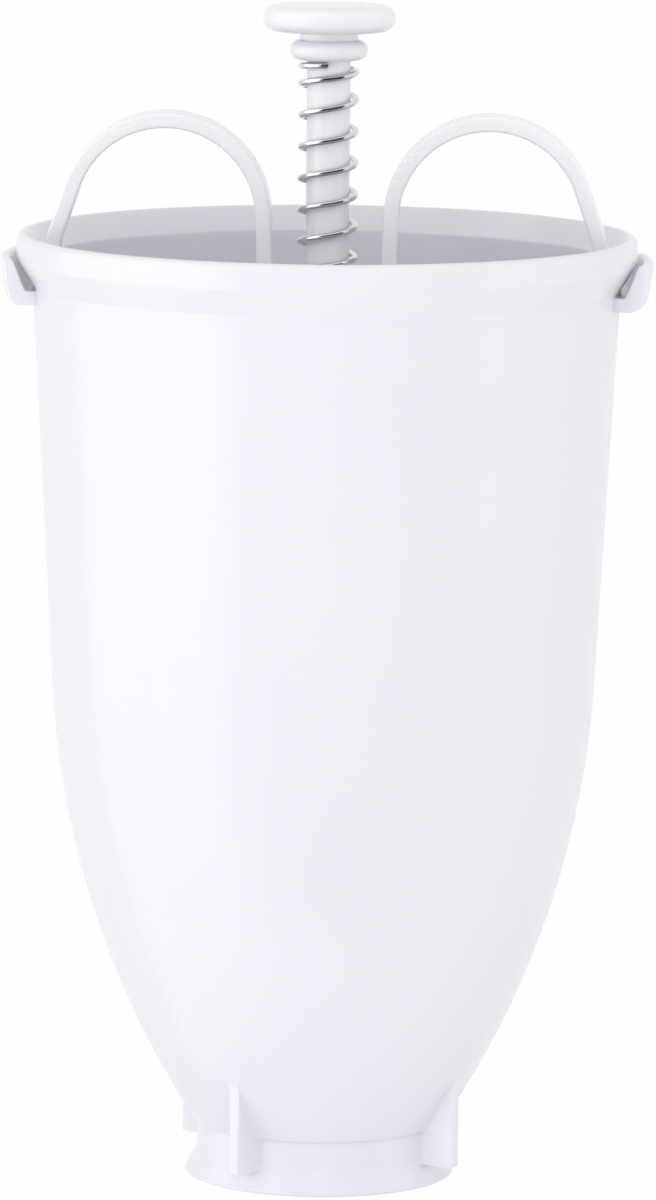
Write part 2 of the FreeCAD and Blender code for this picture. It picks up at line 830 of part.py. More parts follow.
def make_spring():
    """Builds the return spring as one unbroken tube along its biarcs."""
    knots = coil_knots()
    edges = []
    for first, last in zip(knots, knots[1:]):
        edges.extend(biarc(first, last))
    path = Part.Wire(edges)
    start, heading = knots[0]
    ring = Part.Circle(start, heading, VALUES["wire_radius"])
    sides = int(VALUES["wire_sides"])
    corners = [ring.value(2 * math.pi * step / sides) for step in range(sides)]
    wire_section = Part.makePolygon(corners + corners[:1])
    shell = Part.BRepOffsetAPI.MakePipeShell(path)
    shell.add(wire_section, False, False)
    shell.build()
    shell.makeSolid()
    spring = document.addObject("Part::Feature", "return_spring")
    spring.Label = "return_spring"
    spring.Shape = shell.shape()
    spring.Placement = FreeCAD.Placement()
    expected = Part.Face(wire_section).Area * path.Length
    gap = least_gap(path)
    print(f"spring: volume {spring.Shape.Volume:.1f}, section times length {expected:.1f}")
    print(f"spring: least gap to itself {gap:.2f} mm")
    if not gap > 0.4:
        raise ValueError("the spring's turns come too near each other")
    return spring


def main():
    """Builds every piece, checks the document and writes one file for each piece."""
    pieces = [make_hopper(), make_bridge(), make_rod(), make_spring(), make_knob(), make_valve()]
    document.recompute()
    for feature in document.Objects:
        if "Invalid" in feature.State or "Error" in feature.State:
            raise ValueError(f"{feature.Name} failed: {feature.State}")
    for piece in pieces:
        shape = piece.Shape
        if shape.isNull() or not shape.isValid() or len(shape.Solids) != 1:
            raise ValueError(f"{piece.Label} is not one valid solid")
    os.makedirs("parts", exist_ok=True)
    for piece in pieces:
        piece.Shape.exportStep(os.path.join("parts", f"{piece.Label}.step"))
        box = piece.Shape.BoundBox
        print(
            f"{piece.Label}: volume {piece.Shape.Volume:.0f},"
            f" x {box.XMin:.2f} to {box.XMax:.2f}, z {box.ZMin:.2f} to {box.ZMax:.2f}"
        )


main()
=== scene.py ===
# %% [markdown]
# A batter dispenser in white moulded plastic: a tall round hopper with four gussets at its foot,
# a bridge with two finger loops clipped into its rim, and a sprung plunger down its middle.
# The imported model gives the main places, and each surface here is worked out around them.

import bmesh
import bpy
import numpy as np
from mathutils import Matrix, Vector


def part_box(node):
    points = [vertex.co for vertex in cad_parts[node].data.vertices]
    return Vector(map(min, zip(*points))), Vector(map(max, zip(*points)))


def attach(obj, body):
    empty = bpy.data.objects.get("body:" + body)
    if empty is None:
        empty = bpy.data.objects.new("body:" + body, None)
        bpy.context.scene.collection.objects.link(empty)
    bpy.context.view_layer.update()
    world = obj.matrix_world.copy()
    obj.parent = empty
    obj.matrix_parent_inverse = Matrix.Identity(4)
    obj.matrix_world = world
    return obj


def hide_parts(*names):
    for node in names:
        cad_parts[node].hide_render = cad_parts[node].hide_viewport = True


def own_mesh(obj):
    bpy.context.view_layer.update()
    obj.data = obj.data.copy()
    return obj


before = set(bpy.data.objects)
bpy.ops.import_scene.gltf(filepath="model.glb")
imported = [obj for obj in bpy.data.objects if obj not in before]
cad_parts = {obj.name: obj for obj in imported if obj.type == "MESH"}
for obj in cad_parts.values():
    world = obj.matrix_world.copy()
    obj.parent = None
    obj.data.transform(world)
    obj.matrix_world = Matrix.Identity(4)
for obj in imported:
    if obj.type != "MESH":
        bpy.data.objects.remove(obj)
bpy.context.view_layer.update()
MM = 0.001

# %% [markdown]
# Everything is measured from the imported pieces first. Their boxes say where the rim, the loops,
# the knob and the spring are, and the rest of an outline is a few named sizes in millimetres.

# %% Read the main places from the frame


def corner_in_mm(node, end, axis):
    """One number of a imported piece's box, in millimetres: end 0 is its low corner, 1 its high one."""
    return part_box(node)[end][axis] / MM


RIM_HEIGHT = corner_in_mm("hopper", 1, 2)
LIP_RADIUS = corner_in_mm("hopper", 1, 1)
LUG_REACH = corner_in_mm("hopper", 1, 0)
HUB_FOOT = corner_in_mm("finger_bridge", 0, 2)
LOOP_TOP = corner_in_mm("finger_bridge", 1, 2)
ROD_FOOT = corner_in_mm("plunger_rod", 0, 2)
ROD_HEAD = corner_in_mm("plunger_rod", 1, 2)
ROD_RADIUS = corner_in_mm("plunger_rod", 1, 0)
BEAD_FOOT = corner_in_mm("knob", 0, 2)
DISC_TOP = corner_in_mm("knob", 1, 2)
DISC_RADIUS = corner_in_mm("knob", 1, 0)
SPRING_FOOT = corner_in_mm("return_spring", 0, 2)
SPRING_HEAD = corner_in_mm("return_spring", 1, 2)
print(f"rim {RIM_HEIGHT:.1f} mm, loops {LOOP_TOP:.1f} mm, knob {DISC_TOP:.1f} mm")

# %% [markdown]
# The camera stands far off, a little above the rim, with a long lens, as for a catalogue picture.
# Its place is kept as a distance, a height and three small angles, so each can be checked alone.

# %% Camera
CAMERA_DISTANCE = 1457.94
CAMERA_HEIGHT = 319.84
CAMERA_AZIMUTH = np.radians(1.75)
CAMERA_PITCH = 0.1448
CAMERA_ROLL = 0.0094
SENSOR_HEIGHT = 36.0
LENS = 239.2
SIDE_SHIFT = 0.0034
NEAREST_SEEN, FARTHEST_SEEN = 0.05, 100.0


def place_camera():
    """Sets the camera by its own axes: forward from azimuth and pitch, then turned by the roll."""
    azimuth, pitch, roll = CAMERA_AZIMUTH, CAMERA_PITCH, CAMERA_ROLL
    ahead = Vector((-np.sin(azimuth), np.cos(azimuth), 0.0))
    forward = ahead * np.cos(pitch) + Vector((0.0, 0.0, -np.sin(pitch)))
    level = Vector((np.cos(azimuth), np.sin(azimuth), 0.0))
    upright = level.cross(forward)
    right = np.cos(roll) * level + np.sin(roll) * upright
    up = -np.sin(roll) * level + np.cos(roll) * upright
    data = bpy.data.cameras.new("camera")
    data.sensor_fit = "VERTICAL"
    data.sensor_height = SENSOR_HEIGHT
    data.lens = LENS
    data.shift_x = SIDE_SHIFT
    data.clip_start = NEAREST_SEEN
    data.clip_end = FARTHEST_SEEN
    camera = bpy.data.objects.new("camera", data)
    bpy.context.scene.collection.objects.link(camera)
    turn = Matrix((right, up, -forward)).transposed().to_4x4()
    place = -ahead * CAMERA_DISTANCE + Vector((0.0, 0.0, CAMERA_HEIGHT))
    camera.matrix_world = Matrix.Translation(place * MM) @ turn
    bpy.context.scene.camera = camera


place_camera()
bpy.context.scene.view_settings.view_transform = "Standard"

# %% [markdown]
# White on white needs even light. The world gives most of it. Low strips of light on three sides
# brighten the walls but hardly look over the rim, so the inside of the hopper stays a shade
# darker than the outside. A wide fill high in front reaches the far wall inside.
# Gloss is told by what it mirrors: a tall softbox on the left makes one upright band of light,
# and a dark card on the camera's side keeps the rest plain and gives the steel its black streaks.
# Both are seen in reflections only. The world itself shows white to the camera and in the gloss.
# A lamp is a name, a place, a width, a height and a radiance, in metres.

# %% World and lamps
WORLD_LIGHT = 0.81
SHOWN_WHITE = 1.0
MIDDLE = (0.0, 0.0, 0.1)
SOFTBOX = ("softbox_left", (-1.16, -0.31, 0.1), 1.7, 3.0, 0.85)
FILLS = [
    ("fill_front", (-0.15, -1.15, 0.75), 1.3, 0.8, 0.75),
    ("strip_left", (-0.9, -0.1, 0.1), 1.3, 0.2, 1.35),
    ("strip_front", (-0.1, -0.9, 0.1), 1.3, 0.2, 1.5),
    ("strip_right", (0.9, -0.1, 0.1), 1.3, 0.2, 0.75),
]
CARD_RADIUS, CARD_BOTTOM, CARD_TOP, CARD_STEPS = 2.4, -2.2, 2.2, 24
CARD_FIRST, CARD_LAST = np.radians(-30.0), np.radians(62.0)
CARD_COLOUR, CARD_ROUGHNESS = (0.03, 0.03, 0.035, 1.0), 0.9


def light_world():
    """The world's strength is a plain level, and 1 for rays that show it: camera, gloss and glass."""
    world = bpy.data.worlds.new("studio")
    bpy.context.scene.world = world
    world.use_nodes = True
    nodes, links = world.node_tree.nodes, world.node_tree.links
    background = nodes["Background"]
    path = nodes.new("ShaderNodeLightPath")
    shown = path.outputs["Is Camera Ray"]
    for kind in ("Is Glossy Ray", "Is Transmission Ray"):
        either = nodes.new("ShaderNodeMath")
        either.operation = "MAXIMUM"
        links.new(shown, either.inputs[0])
        links.new(path.outputs[kind], either.inputs[1])
        shown = either.outputs[0]
    level = nodes.new("ShaderNodeMapRange")
    level.inputs["To Min"].default_value = WORLD_LIGHT
    level.inputs["To Max"].default_value = SHOWN_WHITE
    links.new(shown, level.inputs["Value"])
    links.new(level.outputs["Result"], background.inputs["Strength"])
    background.inputs["Color"].default_value = (1.0, 1.0, 1.0, 1.0)


def area_lamp(name, place, width, height, radiance):
    """An area lamp that faces the middle of the dispenser. Its power is its radiance times its
    area times pi."""
    data = bpy.data.lights.new(name, "AREA")
    data.shape = "RECTANGLE"
    data.size = width
    data.size_y = height
    data.energy = radiance * width * height * np.pi
    lamp = bpy.data.objects.new(name, data)
    bpy.context.scene.collection.objects.link(lamp)
    lamp.location = place
    lamp.rotation_euler = (Vector(MIDDLE) - Vector(place)).to_track_quat("-Z", "Y").to_euler()
    return lamp


def seen_in_gloss_only(item):
    """Hides an object from every kind of ray but reflections."""
    item.visible_camera = False
    item.visible_diffuse = False
    item.visible_transmission = False
    item.visible_volume_scatter = False
    item.visible_shadow = False
    return item


def dark_card():
    """A tall dark card bent round the camera's side: x and y go by the sine and the minus cosine
    of the angle from the front."""
    angle = np.linspace(CARD_FIRST, CARD_LAST, CARD_STEPS + 1)
    foot = np.stack([np.sin(angle), -np.cos(angle)], axis=1) * CARD_RADIUS
    low = np.column_stack([foot, np.full(len(foot), CARD_BOTTOM)])
    high = np.column_stack([foot, np.full(len(foot), CARD_TOP)])
    count = len(foot)
    faces = [(step, step + 1, step + 1 + count, step + count) for step in range(CARD_STEPS)]
    mesh = bpy.data.meshes.new("dark_card")
    mesh.from_pydata(np.concatenate([low, high]), [], faces)
    material = bpy.data.materials.new("dark_card")
    material.use_nodes = True
    shader = material.node_tree.nodes["Principled BSDF"]
    shader.inputs["Base Color"].default_value = CARD_COLOUR
    shader.inputs["Roughness"].default_value = CARD_ROUGHNESS
    mesh.materials.append(material)
    card = bpy.data.objects.new("dark_card", mesh)
    bpy.context.scene.collection.objects.link(card)
    seen_in_gloss_only(card)


light_world()
dark_card()
seen_in_gloss_only(area_lamp(*SOFTBOX))
for fill in FILLS:
    area_lamp(*fill).visible_glossy = False

# %% [markdown]
# The floor is a plain pale sheet. To the camera it is nearly all plain white light, and the rest
# is a real matt surface, so a trace of the dispenser's shadow is left on it. Reflections pass
# through it, because the gloss near the foot should mirror the softbox and not the table.

# %% Floor
FLOOR_HALF_WIDTH = 8.0
FLOOR_GLOW = 0.96
FLOOR_WHITE = (0.95, 0.95, 0.95, 1.0)


def lay_floor():
    """One large square: matt white, mixed with white light on camera rays alone."""
    half = FLOOR_HALF_WIDTH
    mesh = bpy.data.meshes.new("floor")
    corners = [(-half, -half, 0), (half, -half, 0), (half, half, 0), (-half, half, 0)]
    mesh.from_pydata(corners, [], [(0, 1, 2, 3)])
    floor = bpy.data.objects.new("floor", mesh)
    bpy.context.scene.collection.objects.link(floor)
    material = bpy.data.materials.new("floor_white")
    material.use_nodes = True
    nodes, links = material.node_tree.nodes, material.node_tree.links
    nodes.clear()
    matt = nodes.new("ShaderNodeBsdfDiffuse")
    matt.inputs["Color"].default_value = FLOOR_WHITE
    glow = nodes.new("ShaderNodeEmission")
    path = nodes.new("ShaderNodeLightPath")
    share = nodes.new("ShaderNodeMath")
    share.operation = "MULTIPLY"
    share.inputs[1].default_value = FLOOR_GLOW
    mixed = nodes.new("ShaderNodeMixShader")
    output = nodes.new("ShaderNodeOutputMaterial")
    links.new(path.outputs["Is Camera Ray"], share.inputs[0])
    links.new(share.outputs[0], mixed.inputs["Fac"])
    links.new(matt.outputs[0], mixed.inputs[1])
    links.new(glow.outputs[0], mixed.inputs[2])
    links.new(mixed.outputs[0], output.inputs["Surface"])
    mesh.materials.append(material)
    floor.visible_glossy = False


lay_floor()

# %% [markdown]
# All the plastic is white polypropylene, moulded with a smooth gloss. Such a skin is never quite
# even: its colour drifts a little where the melt cooled, its gloss is patchy, the surface sinks
# and swells by hundredths of a millimetre, and it carries a very fine grain from the tool.
# Light also goes a little way into it, so that thin edges glow. Patches are counted to the metre
# and heights are in metres.

# %% Moulded plastic
DRIFT_PATCHES, GLOSS_PATCHES, SINK_PATCHES, GRAIN_PATCHES = 22.0, 140.0, 55.0, 5200.0
GLOSS_BELOW, GLOSS_ABOVE = 0.025, 0.035
SINK_HEIGHT, GRAIN_HEIGHT = 0.00005, 0.000002
PLASTIC_IOR = 1.49
GLOW_SHARE, GLOW_COLOURS, GLOW_DEPTH = 0.12, (1.0, 0.95, 0.9), 0.0018


class Finish:
    """A material whose nodes are added one by one, with the object's own coordinates at hand."""

    def __init__(self, name):
        self.material = bpy.data.materials.new(name)
        self.material.use_nodes = True
        self.nodes = self.material.node_tree.nodes
        self.links = self.material.node_tree.links
        self.shader = self.nodes["Principled BSDF"]
        self.place = self.nodes.new("ShaderNodeTexCoord").outputs["Object"]

    def noise(self, scale, detail, source=None):
        """Gives a noise over the piece, with scale patches to the metre."""
        node = self.nodes.new("ShaderNodeTexNoise")
        node.inputs["Scale"].default_value = scale
        node.inputs["Detail"].default_value = detail
        self.links.new(source or self.place, node.inputs["Vector"])
        return node.outputs["Fac"]

    def spread(self, value, low, high):
        """Stretches the middle half of a noise to run from low to high."""
        node = self.nodes.new("ShaderNodeMapRange")
        node.inputs["From Min"].default_value = 0.25
        node.inputs["From Max"].default_value = 0.75
        node.inputs["To Min"].default_value = low
        node.inputs["To Max"].default_value = high
        self.links.new(value, node.inputs["Value"])
        return node.outputs["Result"]

    def between(self, value, first, second):
        """Mixes two colours by a value from 0 to 1."""
        node = self.nodes.new("ShaderNodeMix")
        node.data_type = "RGBA"
        node.inputs["A"].default_value = (*first, 1.0)
        node.inputs["B"].default_value = (*second, 1.0)
        self.links.new(value, node.inputs["Factor"])
        return node.outputs["Result"]

    def bump(self, value, height, under=None):
        """Raises the surface by height metres where the value is 1."""
        node = self.nodes.new("ShaderNodeBump")
        node.inputs["Strength"].default_value = 1.0
        node.inputs["Distance"].default_value = height
        self.links.new(value, node.inputs["Height"])
        if under is not None:
            self.links.new(under, node.inputs["Normal"])
        return node.outputs["Normal"]

    def feed(self, socket, value):
        """Links a value to one of the shader's sockets."""
        self.links.new(value, self.shader.inputs[socket])


def moulded_plastic(name, pale, deep, gloss):
    """White plastic: two near shades by a broad noise, patchy gloss, and sink and grain as bumps."""
    finish = Finish(name)
    drift = finish.spread(finish.noise(DRIFT_PATCHES, 3.0), 0.0, 1.0)
    finish.feed("Base Color", finish.between(drift, pale, deep))
    patches = finish.noise(GLOSS_PATCHES, 4.0)
    finish.feed("Roughness", finish.spread(patches, gloss - GLOSS_BELOW, gloss + GLOSS_ABOVE))
    sink = finish.bump(finish.noise(SINK_PATCHES, 1.0), SINK_HEIGHT)
    finish.feed("Normal", finish.bump(finish.noise(GRAIN_PATCHES, 2.0), GRAIN_HEIGHT, sink))
    finish.shader.inputs["IOR"].default_value = PLASTIC_IOR
    finish.shader.inputs["Subsurface Weight"].default_value = GLOW_SHARE
    finish.shader.inputs["Subsurface Radius"].default_value = GLOW_COLOURS
    finish.shader.inputs["Subsurface Scale"].default_value = GLOW_DEPTH
    return finish.material


hopper_plastic = moulded_plastic("hopper_plastic", (0.822, 0.822, 0.878), (0.806, 0.807, 0.864), 0.232)
# The bridge's white is paler than the hopper's as painted light: it stands in for light that the lamps
# here don't bring to the loops.
bridge_plastic = moulded_plastic("bridge_plastic", (0.905, 0.912, 0.94), (0.888, 0.896, 0.926), 0.2)
# The plunger's white is also paler than the hopper's as painted light, on the knob, the rod and the
# valve alike.
plunger_plastic = moulded_plastic("plunger_plastic", (0.875, 0.88, 0.915), (0.855, 0.862, 0.9), 0.18)

# %% [markdown]
# The spring is hard-drawn steel wire. The die leaves fine lines along the wire, so the noise is
# read from the wire's own map, stretched along its length.

# %% Spring steel
STEEL_PALE, STEEL_DEEP = (0.74, 0.735, 0.73), (0.6, 0.6, 0.605)
STEEL_GLOSS = (0.08, 0.2)
STREAKS_ALONG, STREAKS_ROUND, STREAK_HEIGHT = 0.35, 26.0, 0.000004


def drawn_steel():
    """Bright metal: fine streaks along the wire in its gloss, colour and height."""
    finish = Finish("spring_steel")
    wire_map = finish.nodes.new("ShaderNodeUVMap")
    wire_map.uv_map = "wire"
    stretch = finish.nodes.new("ShaderNodeMapping")
    stretch.inputs["Scale"].default_value = (STREAKS_ALONG, STREAKS_ROUND, 1.0)
    finish.links.new(wire_map.outputs["UV"], stretch.inputs["Vector"])
    streaks = finish.noise(1.0, 4.0, stretch.outputs["Vector"])
    finish.feed("Base Color", finish.between(streaks, STEEL_PALE, STEEL_DEEP))
    finish.feed("Roughness", finish.spread(streaks, *STEEL_GLOSS))
    finish.feed("Normal", finish.bump(streaks, STREAK_HEIGHT))
    finish.shader.inputs["Metallic"].default_value = 1.0
    return finish.material


spring_steel = drawn_steel()

# %% [markdown]
# Each new surface is a grid of points worked out in one go with numpy. Four helpers are enough:
# one rounds the corners of an outline, one turns a grid into faces, one turns an outline about
# the upright axis, and one makes the object and hands it to the frame.

# %% Surface helpers
CORNER_STEPS = 5


def rounded(corners, closed=False):
    """Rounds an outline's corners. A corner is (across, height, radius).

    The arc touches both sides at radius times the tangent of half the turn from the corner, and
    its points swing evenly about its centre. A radius of 0 keeps the corner sharp.
    """
    points = np.array([corner[:2] for corner in corners], float)
    path = []
    for number, corner in enumerate(corners):
        here, radius = points[number], corner[2]
        at_end = number in (0, len(corners) - 1)
        if radius == 0 or (at_end and not closed):
            path.append(here)
            continue
        back = points[number - 1] - here
        ahead = points[(number + 1) % len(corners)] - here
        back = back / np.linalg.norm(back)
        ahead = ahead / np.linalg.norm(ahead)
        half_opening = np.arccos(np.clip(back @ ahead, -1.0, 1.0)) / 2
        middle_way = (back + ahead) / np.linalg.norm(back + ahead)
        centre = here + middle_way * radius / np.sin(half_opening)
        first = here + back * radius / np.tan(half_opening) - centre
        last = here + ahead * radius / np.tan(half_opening) - centre
        swing = np.pi - 2 * half_opening
        share = np.linspace(0, 1, CORNER_STEPS + 1)[:, None]
        arc = (np.sin((1 - share) * swing) * first + np.sin(share * swing) * last) / np.sin(swing)
        path.extend(centre + arc)
    return np.array(path)


def skin(points, wrap_rows=False, wrap_columns=False, capped=False):
    """Joins a grid of points (rows, columns, 3) by four-sided faces that point outwards: they are
    turned round if the volume that they enclose comes out negative."""
    rows, columns = points.shape[:2]
    index = np.arange(rows * columns).reshape(rows, columns)
    first, last = index[0], index[-1]
    if wrap_rows:
        index = np.vstack([index, index[:1]])
    if wrap_columns:
        index = np.hstack([index, index[:, :1]])
    quads = np.stack([index[:-1, :-1], index[:-1, 1:], index[1:, 1:], index[1:, :-1]], axis=-1)
    quads = quads.reshape(-1, 4)
    vertices = points.reshape(-1, 3)
    one, two, three, four = (vertices[quads[:, side]] - vertices.mean(axis=0) for side in range(4))
    volume = np.einsum("ij,ij->", one, np.cross(two, three))
    volume += np.einsum("ij,ij->", one, np.cross(three, four))
    faces = quads.tolist()
    if capped:
        faces += [first[::-1].tolist(), last.tolist()]
    if volume < 0:
        faces = [face[::-1] for face in faces]
    return vertices, faces


def turned(profile, columns=128):
    """Turns an outline of (radius, height) about the upright axis: x and y are radius times the
    cosine and sine of the column's angle."""
    angle = np.linspace(0, 2 * np.pi, columns, endpoint=False)
    radius, height = profile[:, :1], profile[:, 1:]
    across, deep = radius * np.cos(angle), radius * np.sin(angle)
    return np.stack(np.broadcast_arrays(across, deep, height), axis=-1)


def make_piece(name, islands, material, body, sharp=32.0, merge=0.002):
    """Makes one object from grids in millimetres, closes its poles and hands it to the frame.

    Points nearer than merge millimetres become one, and edges that turn by more than sharp
    degrees stay crisp.
    """
    vertices, faces, start = [], [], 0
    for island_vertices, island_faces in islands:
        vertices.append(island_vertices)
        faces.extend([[start + corner for corner in face] for face in island_faces])
        start += len(island_vertices)
    mesh = bpy.data.meshes.new(name)
    mesh.from_pydata(np.concatenate(vertices) * MM, [], faces)
    piece = bpy.data.objects.new(name, mesh)
    bpy.context.scene.collection.objects.link(piece)
    if merge:
        loose = bmesh.new()
        loose.from_mesh(mesh)
        bmesh.ops.remove_doubles(loose, verts=loose.verts, dist=merge * MM)
        loose.to_mesh(mesh)
        loose.free()
    mesh.polygons.foreach_set("use_smooth", np.ones(len(mesh.polygons), bool))
    mesh.set_sharp_from_angle(angle=np.radians(sharp))
    mesh.materials.append(material)
    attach(piece, body)
    print(f"{name}: {len(mesh.polygons)} faces")
    return piece


# %% [markdown]
# The hopper is one moulding. Its section is a closed loop: out along the foot, up the skirt's
# flare and the neck band, round the bowl, up the straight wall, over the lip and down inside.
# The bowl is an arc that starts at the neck and runs into the straight wall with no kink.

# %% Hopper section
SKIRT_RADIUS, SKIRT_BORE, SKIRT_HEIGHT, FLARE_POWER = 25.1, 23.4, 4.9, 1.08
NECK_RADIUS, NECK_HEIGHT = 22.7, 9.8
BOWL_FOOT = (23.4, 10.0)
SHOULDER = (50.1, 92.0)
COLLAR = (54.0, 165.6)
LIP_FOOT_HEIGHT = 170.5
MOUTH_RADIUS, MOUTH_DEPTH = 55.4, 4.6
MOUTH_EDGE, LIP_ROUND, LIP_FOOT_ROUND = 0.35, 1.1, 1.8
WALL = 1.9
SEAT_TOP = 5.0
FLARE_ROWS, BOWL_ROWS, WALL_ROWS, INNER_WALL_ROWS, INNER_BOWL_ROWS = 9, 56, 18, 60, 44
WALL_SLOPE = (COLLAR[0] - SHOULDER[0]) / (COLLAR[1] - SHOULDER[1])


def bowl_arc(inset, low, rows):
    """The round bowl's side: an arc through the foot and the shoulder, tangent to the wall.

    Its radius is the squared chord over twice the chord's part across the wall. An inset
    moves it inwards, about the same centre. The rows climb in equal steps from low.
    """
    wall = np.array([WALL_SLOPE, 1.0]) / np.hypot(WALL_SLOPE, 1.0)
    inwards = np.array([-wall[1], wall[0]])
    chord = np.array(BOWL_FOOT) - np.array(SHOULDER)
    radius = chord @ chord / (2 * chord @ inwards)
    centre = np.array(SHOULDER) + inwards * radius
    high = SHOULDER[1] + inset * inwards[1]
    height = np.linspace(low, high, rows)
    across = centre[0] + np.sqrt((radius - inset) ** 2 - (height - centre[1]) ** 2)
    return np.stack([across, height], axis=1)


def wall_radius(height, inset=0.0):
    """The straight wall's radius at a height."""
    return SHOULDER[0] + WALL_SLOPE * (height - SHOULDER[1]) - inset * np.hypot(WALL_SLOPE, 1.0)


def wall_side(inset, low, high, rows):
    """Evenly spaced points up the straight wall."""
    height = np.linspace(low, high, rows)
    return np.stack([wall_radius(height, inset), height], axis=1)


def hopper_section():
    """The closed loop of the hopper's section, from the foot outside to the seat inside."""
    flare = np.append(np.linspace(0.0, 0.96, FLARE_ROWS), 1.0)
    spread = SKIRT_RADIUS - NECK_RADIUS
    skirt_radius = NECK_RADIUS + spread * (1 - flare) ** FLARE_POWER
    skirt = np.stack([skirt_radius, SKIRT_HEIGHT * flare], axis=1)
    foot = rounded([
        (SKIRT_BORE, 0.3, 0), (SKIRT_BORE - 0.02, 0.0, 0.25), (SKIRT_RADIUS, 0.0, 0.3),
        (*skirt[1], 0),
    ])
    bowl_start = bowl_arc(0.0, BOWL_FOOT[1] + 0.5, 2)[0]
    neck = rounded([
        (NECK_RADIUS, SKIRT_HEIGHT + 0.15, 0), (NECK_RADIUS, SKIRT_HEIGHT + 0.6, 0),
        (NECK_RADIUS, NECK_HEIGHT + 0.1, 0.15), (BOWL_FOOT[0], BOWL_FOOT[1] - 0.05, 0.12),
        (*bowl_start, 0),
    ])
    bowl = bowl_arc(0.0, BOWL_FOOT[1] + 1.0, BOWL_ROWS)
    wall = wall_side(0.0, SHOULDER[1] + 4.0, COLLAR[1] - 1.0, WALL_ROWS)
    mouth_foot = RIM_HEIGHT - MOUTH_DEPTH
    lip = rounded([
        (wall_radius(COLLAR[1] - 0.5), COLLAR[1] - 0.5, 0), (*COLLAR, 0.35),
        (LIP_RADIUS, LIP_FOOT_HEIGHT, LIP_FOOT_ROUND), (LIP_RADIUS, RIM_HEIGHT, LIP_ROUND),
        (MOUTH_RADIUS, RIM_HEIGHT, MOUTH_EDGE), (wall_radius(mouth_foot, WALL), mouth_foot, 1.2),
        (wall_radius(mouth_foot - 1.0, WALL), mouth_foot - 1.0, 0),
    ])
    inner_wall = wall_side(WALL, mouth_foot - 1.2, SHOULDER[1] + 4.0, INNER_WALL_ROWS)
    neck_bore = NECK_RADIUS - WALL
    inner_bowl = bowl_arc(WALL, 10.2, INNER_BOWL_ROWS)[::-1]
    bore = rounded([
        (inner_bowl[-1][0] - 0.05, 10.0, 0), (neck_bore, 9.5, 0.3), (neck_bore, SEAT_TOP, 0.3),
        (SKIRT_BORE - 0.1, 0.7, 0),
    ])
    return np.concatenate([foot, skirt[2:], neck, bowl, wall, lip, inner_wall, inner_bowl, bore])


section = hopper_section()
print(f"hopper section: {len(section)} points")

# %% [markdown]
# The four gussets grow out of the same skin. Near each of them the columns of the grid stand at
# fixed distances from its middle plane, and each column has a weight that says how far it is
# drawn out to the gusset's upright edge. Small weights at the root make the fillet, and the last
# ones round the edge. The inside of the grid and the rows above the gussets stay round. A column
# is a distance and a weight, from the root to the edge.

# %% Hopper
GUSSET_RADIUS, GUSSET_FOOT, GUSSET_EDGE = 29.7, 3.8, 0.5
GUSSET_ANGLES = np.radians(60.0 + 90.0 * np.arange(4))
GUSSET_COLUMNS = np.array([
    (2.3, 0.0), (1.8, 0.008), (1.5, 0.028), (1.3, 0.06), (1.17, 0.11), (1.09, 0.18), (1.06, 0.3),
    (1.05, 0.6), (1.05, 0.9), (1.03, 0.955), (0.95, 0.982), (0.82, 0.995), (0.6, 1.0), (0.3, 1.0),
])
COLUMNS_BETWEEN = 44
GUSSET_ROWS = np.array([-0.02, 0.0, 0.06, 0.2, 0.5])
POCKET_HEIGHT, POCKET_DEPTH, POCKET_HALF_HEIGHT, POCKET_HALF_ANGLE = 168.6, 0.6, 1.2, 7.0
POCKET_SOFT_ANGLE, POCKET_SOFT_INSIDE, POCKET_SOFT_OUTSIDE = 1.2, 0.3, 0.5


def smooth_step(value, low, high):
    """Rises from 0 at low to 1 at high, level at both ends."""
    share = np.clip((value - low) / (high - low), 0, 1)
    return share * share * (3 - 2 * share)


def gusset_reach(height):
    """How far out the gusset's edge stands at a height: full radius, rounded off at its foot."""
    above = np.clip(height - GUSSET_FOOT, 0, GUSSET_EDGE)
    rounding = GUSSET_EDGE - np.sqrt(GUSSET_EDGE ** 2 - (GUSSET_EDGE - above) ** 2)
    return np.where(height < GUSSET_FOOT - 0.001, 0.0, GUSSET_RADIUS - rounding)


def with_gusset_rows(loop):
    """Adds rows to the section where the gussets start, so that their flat underside is level."""
    heights = GUSSET_FOOT + GUSSET_ROWS
    outer = loop[: len(loop) // 3]
    radius = np.interp(heights, outer[:, 1], outer[:, 0])
    start = int(np.argmax((outer[:, 1] > GUSSET_FOOT - 0.05) & (outer[:, 0] < SKIRT_RADIUS)))
    stop = int(np.argmax(outer[:, 1] > GUSSET_FOOT + 0.55))
    return np.concatenate([loop[:start], np.stack([radius, heights], axis=1), loop[stop:]])


def hopper_skin(loop):
    """The hopper's grid. In a gusset's own directions a point lies at the square root of radius
    squared less offset squared, plus its weight times the way out to the gusset's edge."""
    radius, height = loop[:, :1], loop[:, 1:]
    turning = int(np.argmax(loop[:, 1] >= RIM_HEIGHT - 0.01))
    outside = (np.arange(len(loop)) < turning)[:, None]
    way_out = np.where(outside, np.maximum(0.0, gusset_reach(height) - radius), 0.0)
    offset = np.concatenate([-GUSSET_COLUMNS[:, 0], [0.0], GUSSET_COLUMNS[::-1, 0]])
    weight = np.concatenate([GUSSET_COLUMNS[:, 1], [1.0], GUSSET_COLUMNS[::-1, 1]])
    columns_x, columns_y = [], []
    for angle in GUSSET_ANGLES:
        away = np.sqrt(radius ** 2 - offset ** 2) + weight * way_out
        columns_x.append(away * np.cos(angle) - offset * np.sin(angle))
        columns_y.append(away * np.sin(angle) + offset * np.cos(angle))
        half_root = np.arcsin(GUSSET_COLUMNS[0, 0] / radius)
        share = np.linspace(0, 1, COLUMNS_BETWEEN + 2)[1:-1]
        turn = angle + half_root + (np.pi / 2 - 2 * half_root) * share
        columns_x.append(radius * np.cos(turn))
        columns_y.append(radius * np.sin(turn))
    across = np.concatenate(columns_x, axis=1)
    deep = np.concatenate(columns_y, axis=1)
    return np.stack([across, deep, np.broadcast_to(height, across.shape)], axis=-1), ~outside


